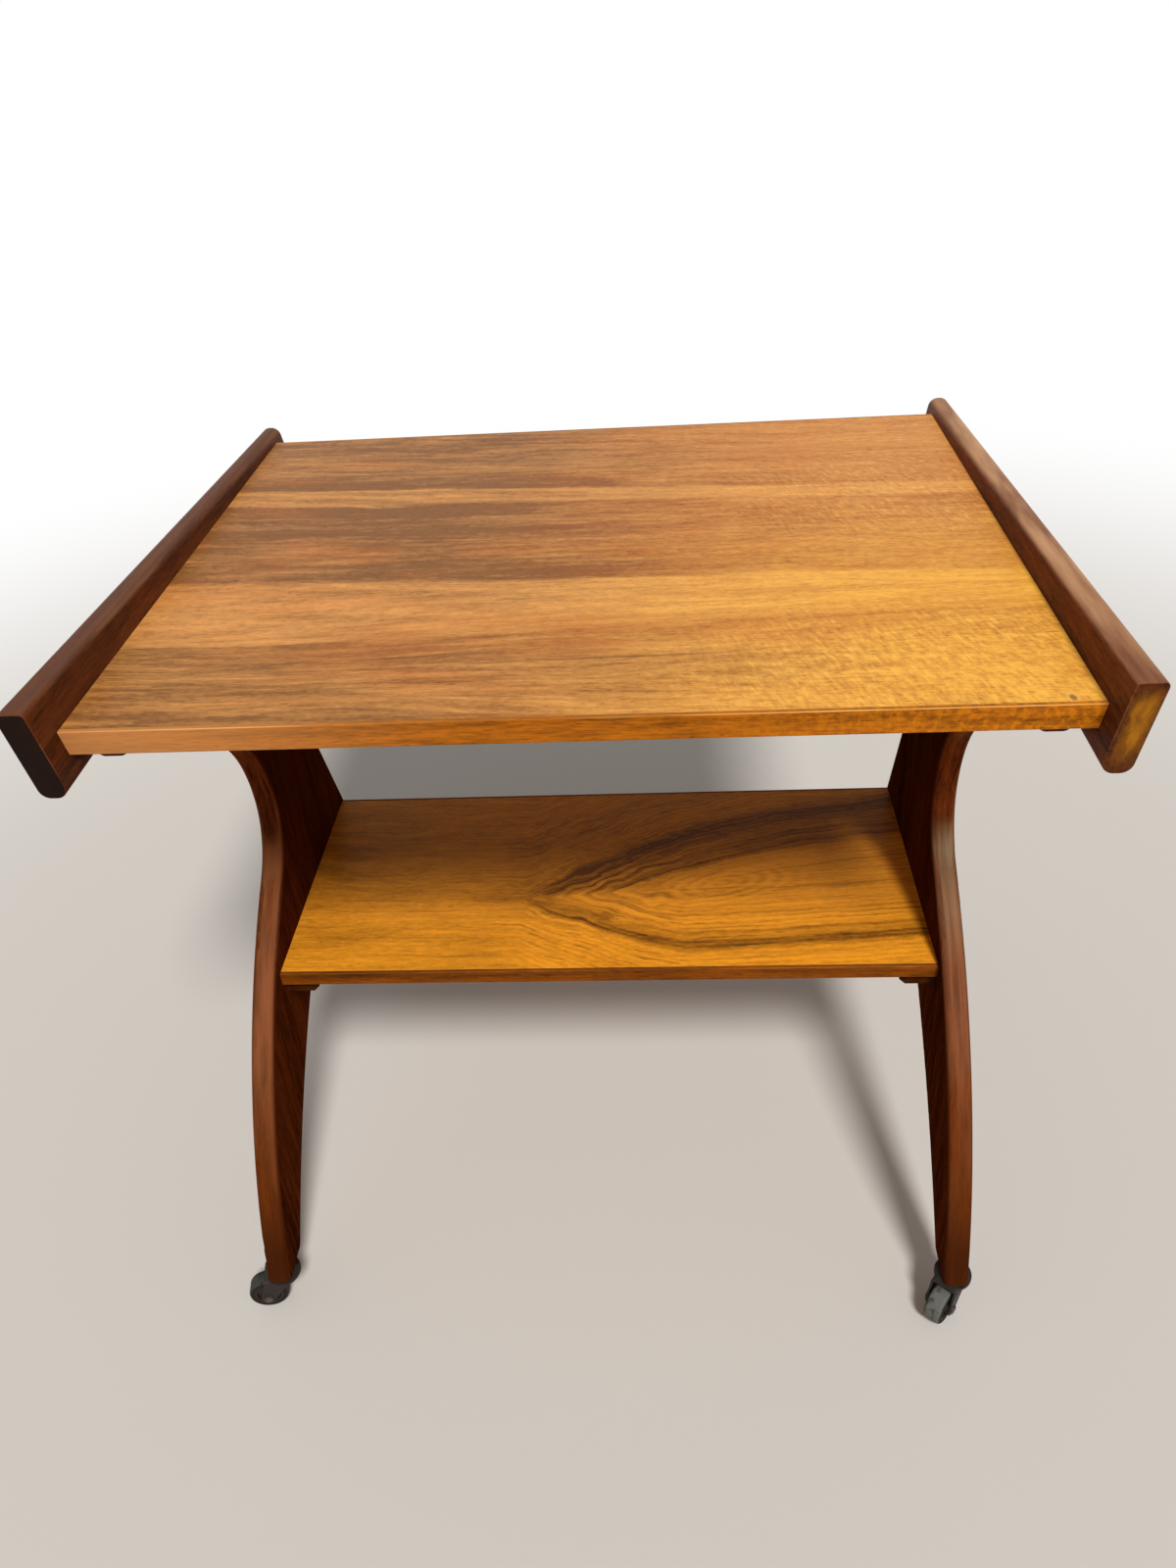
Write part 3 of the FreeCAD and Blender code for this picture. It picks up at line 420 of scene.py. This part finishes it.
# %% Make the shelf veneer
SHELF_GOLD, SHELF_AMBER, SHELF_DARK = tone(222, 142, 40), tone(246, 160, 38), tone(98, 54, 12)
SHELF_LINE, SHELF_PORE = tone(88, 52, 12), tone(64, 36, 12)


def make_shelf_veneer():
    finish = Finish("shelf_veneer", Specular_IOR_Level=0.04, Coat_Weight=0.008, Coat_Roughness=0.2)
    place = finish.place["Object"]
    x, y, _ = finish.parts(place)
    slow, quick, sway = swings(finish, place, (8, 15, 2, 0.5, 4.4, 1.0),
                               (38, 70, 3, 0.6, 8.8, 1.0), (26, 30, 1, 0.4, 2.2, 1.0))
    aside, half = ring_place(finish, x, y, slow)
    # scallops: the rings sway between the tip and the eye
    crumple = x.step(-0.09, -0.03) * x.step(0.10, 0.05) * abs(aside).step(0.07, 0.04)
    level = abs(aside) - half + slow * 0.012 + quick * 0.007 + sway * crumple * 0.030
    rear = aside.step(-0.004, 0.010)
    rings = (profile(finish, level, REAR_RINGS, LEVELS) * rear
             + profile(finish, level, FRONT_RINGS, LEVELS) * (1 - rear))
    near = x.step(-0.16, -0.02)
    # the grain runs with the rings, so the streaks are drawn on the level too
    grain = finish.joined(x, level, aside * 0.3)
    patches, streaks = swings(finish, grain, (9, 26, 3, 0.6, 7.4, 1.1),
                              (12, 130, 4, 0.68, 6.1, 1.9))
    flecks, fibres = swings(finish, place, (95, 330, 3, 0.7, 3.6, 1.6),
                            (60, 800, 2, 0.7, 2.9, 1.1))
    plain = profile(finish, y, PLAIN_BANDS, SHELF_DEPTH) * (0.85 + patches)
    # single growth rings are thin waves over the same level, and small ovals fill the eye
    eye = (((x - EYE_OF_RINGS) * 0.42) ** 2 + (aside + 0.006) ** 2) ** 0.5
    eye = eye + slow * 0.006 + quick * 0.003
    waves = ((level * 420).sine() * crumple * 0.20 + (level * 930).sine() * near * 0.07
             + (eye * 800).sine() * eye.step(0.042, 0.020) * 0.13)
    dark = (rings * near + plain * (1 - near) + patches * 0.15 + streaks * 0.42
            + waves + flecks * 0.42 + fibres * 0.3).clamp()
    golden = mixed(finish, y.step(0.02, -0.13), SHELF_GOLD, SHELF_AMBER)
    wood = mixed(finish, dark, golden, SHELF_DARK)
    lines = stretched(finish, grain, 3.5, 200, 3, 0.6, 5.5).step(0.54, 0.70)
    wood = mixed(finish, lines * (0.28 + near * 0.20), wood, SHELF_LINE)
    pores = stretched(finish, grain, 110, 900, 2, 0.65, 5.9).step(0.56, 0.72)
    wood = mixed(finish, pores * (0.22 + dark * 0.40), wood, SHELF_PORE)
    finish.show(Base_Color=wood, Roughness=0.36 + streaks * 0.06 + pores * 0.12)
    relief(finish, fibres * 0.4 - pores * 0.6, 0.0003, 0.35)
    return finish


shelf_veneer = make_shelf_veneer()
shelf_veneer.wear(nodes["shelf_board"])
print("shelf veneer:", len(shelf_veneer.tree.nodes), "nodes")

# %% [markdown]
# ## Lippings, rails and legs
#
# All the wood but the two veneers is solid, with a straight grain. Each kind of piece could
# have a material built from nothing, but they have nearly all of it in common, so they share one
# recipe. A colour is darkened by streaks and pores, the surfaces that face up are lightened a
# little by a painted sheen, and the corners that hands and feet rub against are worn paler. A
# corner is found from the surface direction alone: on a flat face one part of the normal is
# nearly 1, and on a rounding it isn't. That needs no painted mask, and it holds for every piece.

# %% The recipe for a solid wood


def turned(finish, parts, axes):
    """A place from its parts in another order, such as "yxz" to lay the grain along Y."""
    return finish.joined(*(parts["xyz".index(letter)] for letter in axes))


def make_solid_wood(name, axes, light, dark, worn, seed, top_sheen=0.0, wear=0.5, shine=0.02,
                    sweep=0.0, marks=None):
    """Wood whose grain lies along the first of the axes. Worn is its colour where it is rubbed,
    and also the colour of a painted sheen on the faces that look up. Sweep is how much its streaks
    follow a swept front or rear edge."""
    finish = Finish(name, Specular_IOR_Level=shine, Coat_Weight=0.0)
    where = finish.parts(finish.place["Object"])
    facing = finish.parts(finish.place["Normal"])
    # depth counts less on a swept edge, so that the streaks run along it
    depth = where[1] * (1 - abs(facing[1]).step(0.1, 0.6) * sweep)
    place = turned(finish, (where[0], depth, where[2]), axes)
    bands, streaks, fibres = swings(
        finish, place, (3.0, 44, 3, 0.6, seed + 0.4, 1.7), (13, 170, 4, 0.68, seed + 1.7, 1.8),
        (60, 520, 3, 0.7, seed + 2.3, 1.8))
    blotch = stretched(finish, place, 5, 36, 3, 0.6, seed + 5.1)
    wood = mixed(finish, (bands + streaks + fibres + 0.45).clamp(), light, dark)
    pores = stretched(finish, place, 80, 900, 2, 0.6, seed + 3.9).step(0.57, 0.72)
    wood = mixed(finish, pores * 0.6, wood, (*(part * 0.3 for part in dark[:3]), 1.0))
    flat = abs(facing[0]).most(abs(facing[1])).most(abs(facing[2]))
    rubbed = (1 - flat).step(0.03, 0.22) * blotch.step(0.42, 0.64) * wear
    # painted sheen: the surfaces that face up are lightened towards the worn colour
    up_sheen = facing[2].step(0.25, 0.95) * (0.35 + blotch) * top_sheen
    wood = mixed(finish, (rubbed + up_sheen + fibres * 0.08).clamp(), wood, worn)
    if marks:
        wood = marks(finish, wood, where, facing, blotch)
    rough = (0.42 + contrast(blotch, 0.24) + rubbed * 0.10 + pores * 0.08).clamp()
    finish.show(Base_Color=wood, Roughness=rough)
    relief(finish, fibres * 0.4 + blotch * 0.3 - pores * 0.5, 0.0004, 0.35)
    return finish


print("the recipe for a solid wood is ready")

# %% [markdown]
# ## Marks of age, and painted light and shade
#
# Some marks belong to one kind of piece only: ends that are black with old polish, a streak of
# sapwood, a mottle on a lipping. Others are painted light: a painted sheen on a rail's top, a
# painted sheen and painted shade on a leg. They could be painted onto a map of each piece. Here a
# mark is a colour that is mixed in where its mask is 1, and the mask is a product of ramps over
# the place and the surface direction. So it is as sharp from close by as from afar, and one number
# moves it. A function for each kind of piece draws its marks, and the recipe calls it last.

# %% Marks of the handle rails
RAIL_TOP_SHEEN, SHADED_RAIL = tone(206, 156, 112), tone(56, 26, 10)
OLD_POLISH, SAPWOOD = tone(24, 16, 12), tone(168, 106, 22)
RAIL_FOOT, TOP_LEVEL, RAIL_LEAN = 0.366, 0.704, math.tan(math.radians(10))


def rail_marks(finish, wood, where, facing, blotch):
    """The right rail's top has a painted sheen, and the left rail is darkened by painted shade.
    Their front ends are dark with old polish, but on the right one a golden streak of sapwood
    shows."""
    x, y, z = where
    left = x.step(0.1, -0.1)
    # painted sheen on the right rail's top, a little stronger towards the back
    right_rail_sheen = facing[2].step(0.5, 0.95) * x.step(0.30, 0.36) * blotch.step(0.34, 0.66)
    right_rail_sheen = right_rail_sheen * (0.60 + y.step(-0.26, -0.05) * 0.22)
    wood = mixed(finish, right_rail_sheen, wood, RAIL_TOP_SHEEN)
    # painted shade over the left rail
    wood = mixed(finish, left * 0.45, wood, SHADED_RAIL)
    end = (0 - facing[1]).step(0.80, 0.97)
    wood = mixed(finish, end * (0.45 + left * 0.5), wood, OLD_POLISH)
    # the distance outward from the rail's inner side, which leans
    outward = x - RAIL_FOOT - (z - TOP_LEVEL) * RAIL_LEAN + contrast(blotch, 0.012)
    streak = outward.step(0.000, 0.010) * outward.step(0.024, 0.014)
    streak = streak * z.step(0.664, 0.690) * z.step(0.732, 0.712)
    rays = stretched(finish, finish.joined(z, outward), 40, 160, 3, 0.6)
    return mixed(finish, end * streak * (0.45 + rays.step(0.36, 0.62) * 0.45), wood, SAPWOOD)


print("the rails lean by", round(RAIL_LEAN, 3))

# %% Marks of the legs
GREY_SHEEN, PINK_SHEEN, INNER_SHADE = tone(136, 124, 96), tone(156, 98, 66), tone(34, 8, 0)
SHIN_BROWN, FOOT_BROWN = tone(92, 44, 12), tone(48, 20, 8)


def leg_marks(finish, wood, where, facing, blotch):
    """A grey-green painted sheen below the right neck and a pinkish painted sheen under it, both
    streaked along the grain, then browner feet, and inner faces darkened by painted shade."""
    x, _, z = where
    front, right = (0 - facing[1]).step(0.2, 0.8), x.step(-0.1, 0.1)
    fine = stretched(finish, finish.joined(z, x), 9, 240, 3, 0.6, 9.9)
    patchy = 0.4 + (blotch * 0.4 + fine * 0.6).step(0.38, 0.62) * 0.6
    # painted sheen, grey-green, on the front just below the neck, strongest on the right leg
    neck_sheen = front * z.step(0.31, 0.36) * z.step(0.425, 0.385) * patchy
    wood = mixed(finish, neck_sheen * (0.05 + right * 0.70), wood, GREY_SHEEN)
    # painted sheen, pinkish, on the front below that
    rubbed = front * z.step(0.22, 0.29) * z.step(0.40, 0.33) * patchy
    wood = mixed(finish, rubbed * (0.26 + right * 0.50), wood, PINK_SHEEN)
    wood = mixed(finish, front * z.step(0.27, 0.12) * 0.60, wood, SHIN_BROWN)
    wood = mixed(finish, front * z.step(0.16, 0.07) * 0.70, wood, FOOT_BROWN)
    # painted shade on the inner faces, deeper higher up
    inner = (facing[0] * (1 - right * 2)).step(0.5, 0.9)
    return mixed(finish, inner * (0.45 + z.step(0.25, 0.5) * 0.30), wood, INNER_SHADE)


print("the bloom is", [round(part, 3) for part in GREY_SHEEN[:3]])

# %% Marks of the top's lippings
MOTTLE_GOLD, PALE_LIPPING = tone(236, 142, 16), tone(198, 140, 88)


def lipping_marks(finish, wood, where, facing, blotch):
    """Paler at the left, more golden at the right, with short cross mottling."""
    x = where[0]
    mottle = stretched(finish, turned(finish, where, "yxz"), 20, 190, 3, 0.6, 3.3)
    mottle = mottle.step(0.40, 0.66) * x.step(0.0, 0.3)
    wood = mixed(finish, mottle * 0.42, wood, MOTTLE_GOLD)
    return mixed(finish, x.step(-0.05, -0.35) * 0.55, wood, PALE_LIPPING)


print("the mottle is", [round(part, 3) for part in MOTTLE_GOLD[:3]])

# %% [markdown]
# ## Six woods from one recipe
#
# The rails and the legs are dark, each lipping takes after the board that it edges, the cleats
# in the corners below the boards are plain dark strips, and the dowels inside the joints are
# pale turned pegs. Each piece could be given its wood by hand. The pieces' names already say
# what they are, so a short table of name endings does it for all of them.

# %% Make the solid woods
solid_woods = {
    "rail": make_solid_wood(
        "rail_wood", "yxz", tone(124, 62, 28), tone(50, 20, 8), tone(160, 110, 78), seed=11.0,
        top_sheen=0.35, wear=0.4, shine=0.04, marks=rail_marks),
    "leg": make_solid_wood(
        "leg_wood", "zyx", tone(112, 50, 19), tone(38, 13, 4), tone(140, 84, 50), seed=23.0,
        top_sheen=0.2, shine=0.0, sweep=0.85, marks=leg_marks),
    "top_lip": make_solid_wood(
        "top_lipping", "xyz", tone(186, 104, 22), tone(100, 52, 8), tone(232, 180, 108),
        seed=31.0, top_sheen=0.1, wear=0.9, marks=lipping_marks),
    "shelf_lip": make_solid_wood(
        "shelf_lipping", "xyz", tone(140, 72, 14), tone(76, 38, 8), tone(196, 136, 66),
        seed=43.0, top_sheen=0.1, wear=0.8),
    "cleat": make_solid_wood(
        "cleat_wood", "yxz", tone(74, 38, 16), tone(42, 20, 8), tone(100, 62, 36), seed=57.0,
        shine=0.0),
    "dowel": make_solid_wood(
        "dowel_wood", "xyz", tone(206, 168, 120), tone(176, 134, 88), tone(214, 182, 140),
        seed=61.0, wear=0.2),
}
ENDINGS = {"handle_rail": "rail", "_leg": "leg", "cleat": "cleat", "_dowels": "dowel"}
for node, obj in nodes.items():
    for ending, kind in ENDINGS.items():
        if node.endswith(ending):
            solid_woods[kind].wear(obj)
    if node.endswith("lipping"):
        solid_woods["top_lip" if node.startswith("top") else "shelf_lip"].wear(obj)
print("solid woods:", sorted(solid_woods))

# %% [markdown]
# ## Metals
#
# The castors are pressed steel that has gone dark brown, with the plating left only where the
# parts rub. One roughness all over would do for new metal. On old metal rust and dirt sit in
# soft patches, so colour, roughness and the metallic value all follow the same patch noise:
# clean metal is smooth and metallic, a rusty patch neither.

# %% Make the metals
CLEAN_ROUGHNESS, DIRTY_ROUGHNESS = 0.35, 0.75


def make_metal(name, clean, dull, patch, seed, bare):
    """Metal with patches of dull dirt, so many to the metre. Bare is the clean share."""
    finish = Finish(name)
    place = finish.place["Object"]
    patches = stretched(finish, place, patch, patch, 4, 0.62, seed)
    fine = stretched(finish, place, 900, 900, 2, 0.6, seed + 2)
    dirt = (patches + contrast(fine, 0.3)).step(bare - 0.12, bare + 0.12)
    rough = dirt * (DIRTY_ROUGHNESS - CLEAN_ROUGHNESS) + CLEAN_ROUGHNESS + contrast(fine, 0.1)
    finish.show(Base_Color=mixed(finish, dirt, clean, dull), Metallic=0.75 - dirt * 0.70,
                Roughness=rough)
    relief(finish, dirt * 0.6 + fine * 0.4, 0.0003, 0.6)
    return finish


metals = {
    "castor_fork": make_metal("fork_metal", tone(46, 36, 28), tone(24, 15, 9),
                              patch=90, seed=5.0, bare=0.42),
    "castor_stem": make_metal("stem_metal", tone(140, 130, 116), tone(54, 38, 28),
                              patch=120, seed=8.0, bare=0.5),
    "castor_axle": make_metal("axle_metal", tone(104, 90, 76), tone(42, 28, 20),
                              patch=120, seed=9.0, bare=0.46),
    "castor_socket": make_metal("socket_metal", tone(66, 52, 38), tone(28, 18, 11),
                                patch=80, seed=15.0, bare=0.46),
    "cleat_screws": make_metal("screw_steel", tone(140, 134, 124), tone(78, 56, 38),
                               patch=160, seed=21.0, bare=0.55),
    "wheel_core": make_metal("core", tone(70, 40, 24), tone(38, 20, 12),
                             patch=70, seed=27.0, bare=0.3),
}
for node, obj in nodes.items():
    for kind, finish in metals.items():
        if kind in node:
            finish.wear(obj)
print("metals:", sorted(metals))

# %% [markdown]
# ## Tyres
#
# A tyre is rubbed pale where it rolls and stays dark on its sides. A second material on the
# tread's faces could show that, but with a hard line between the two, and the model's faces are
# left alone. So the finish itself tells tread from side, by the distance from the wheel's middle
# along its axle. Each wheel stands at its own angle, so each tyre gets its own finish, and the
# joint that the wheel rolls on gives the middle and the axle's direction.

# %% Make the tyres
GRIMY_RUBBER, RUBBED_RUBBER = tone(34, 30, 26), tone(98, 99, 92)
TREAD_EDGE, TREAD_FLAT = 0.0086, 0.0072
# the front left tread is drawn darker than the others
DARKER_TREADS = {"front_left": 0.25}


def make_tyre(joint, seed, rubbed):
    """A tyre that is pale on its tread, as much as rubbed says, around its own joint's axis."""
    finish = Finish("tyre_of_" + joint["name"], Specular_IOR_Level=0.10)
    place = finish.place["Object"]
    from_centre = finish.add("VectorMath", dict(operation="SUBTRACT"),
                             {0: place, 1: joint["pos_m"]})
    aside = finish.add("VectorMath", dict(operation="DOT_PRODUCT"),
                       {0: from_centre, 1: joint["axis"]}, out=1)
    grime = stretched(finish, place, 80, 80, 4, 0.65, seed)
    speck = stretched(finish, place, 700, 700, 2, 0.6, seed + 4)
    tread = abs(aside).step(TREAD_EDGE, TREAD_FLAT)
    worn = ((tread * (1.25 - grime.step(0.44, 0.64)) + contrast(speck, 0.35)) * rubbed).clamp()
    finish.show(Base_Color=mixed(finish, worn, GRIMY_RUBBER, RUBBED_RUBBER),
                Roughness=0.55 + grime * 0.3)
    relief(finish, speck * 0.5 + grime * 0.5, 0.0004, 0.6)
    return finish


rolling = [joint for joint in frame["joints"] if joint["name"].startswith("roll_")]
for number, joint in enumerate(rolling):
    corner = joint["name"].removeprefix("roll_")
    tyre = make_tyre(joint, 13.0 + number * 7, DARKER_TREADS.get(corner, 1.0))
    tyre.wear(nodes["wheel_tyre_" + corner])
print("tyres:", len(rolling))

# %% [markdown]
# ## Floor and light
#
# A plain pale floor catches the trolley's shadow. Far from the trolley it turns into the white
# of the world, so that no horizon shows. One wide, soft sun stands for a tall window in front
# and to the right, and the pale world fills the shadows. A curved backdrop and area lamps could
# do the same for one view, but a sun, a round floor and a world serve a camera on any side. The
# camera and the reflections see plain white, while the light that the world gives is weaker,
# which keeps the shadows.

# %% What a ray sees
DAYLIGHT, FLOOR_FADE = 0.32, (0.9, 2.6)


def looked_along(owner):
    """1 on rays that are seen, from the camera or as a reflection, and 0 on those that light."""
    ray = owner.node("LightPath").outputs
    return (Wire(owner, ray["Is Camera Ray"]) + Wire(owner, ray["Is Glossy Ray"])
            + Wire(owner, ray["Is Transmission Ray"])).clamp()


print("the world gives", DAYLIGHT, "and is shown as 1")

# %% Lay the floor


def make_floor(radius=9.0, rings=40, spokes=96):
    """A round floor: a grid of (distance, angle), with the distance growing as a square."""
    reach = np.linspace(0, 1, rings + 1)[1:] ** 2 * radius
    angle = np.linspace(0, 2 * np.pi, spokes, endpoint=False)
    ring, spoke = np.meshgrid(reach, angle, indexing="ij")
    points = np.stack((ring * np.cos(spoke), ring * np.sin(spoke), ring * 0), axis=-1)
    k = np.arange(rings * spokes).reshape(rings, spokes)
    after = np.roll(k, -1, axis=1)
    faces = np.stack((k[:-1], k[1:], after[1:], after[:-1]), axis=-1).reshape(-1, 4)
    mesh = bpy.data.meshes.new("floor")
    mesh.from_pydata(points.reshape(-1, 3).tolist(), [], faces.tolist() + [k[0].tolist()])
    floor = bpy.data.objects.new("floor", mesh)
    bpy.context.scene.collection.objects.link(floor)
    return floor


floor = make_floor()
pale = Finish("pale_floor", Base_Color=tone(206, 200, 192), Roughness=0.75,
              Specular_IOR_Level=0.2)
far = pale.add("VectorMath", dict(operation="LENGTH"), {0: pale.place["Object"]}, out=1)
white = pale.add("Emission", values={"Color": (1, 1, 1, 1), "Strength": 1.0})
blend = pale.add("MixShader", values={0: far.step(*FLOOR_FADE) * looked_along(pale),
                                      1: pale.shader.outputs[0], 2: white})
pale.feed(pale.tree.nodes["Material Output"].inputs["Surface"], blend)
floor.data.materials.append(pale.material)
print("floor radius", round(max(floor.dimensions) / 2, 2))

# %% Light the room


def make_sun(name, towards, strength, spread):
    """A sun that shines along a direction. Its spread in degrees softens the shadows."""
    lamp = bpy.data.lights.new(name, "SUN")
    lamp.energy = strength
    lamp.angle = math.radians(spread)
    sun = bpy.data.objects.new(name, lamp)
    sun.matrix_world = Vector(towards).to_track_quat("-Z", "Y").to_matrix().to_4x4()
    bpy.context.scene.collection.objects.link(sun)
    return sun


make_sun("window", towards=(-0.25, 0.78, -1.0), strength=2.9, spread=12)
world = bpy.data.worlds.new("studio")
bpy.context.scene.world = world
world.use_nodes = True
sky = NodeTree(world.node_tree)
background = sky.tree.nodes["Background"].inputs
sky.feed(background["Color"], (1, 1, 1, 1))
sky.feed(background["Strength"], looked_along(sky) * (1 - DAYLIGHT) + DAYLIGHT)
print("lights:", [light.name for light in bpy.data.lights])

# %% [markdown]
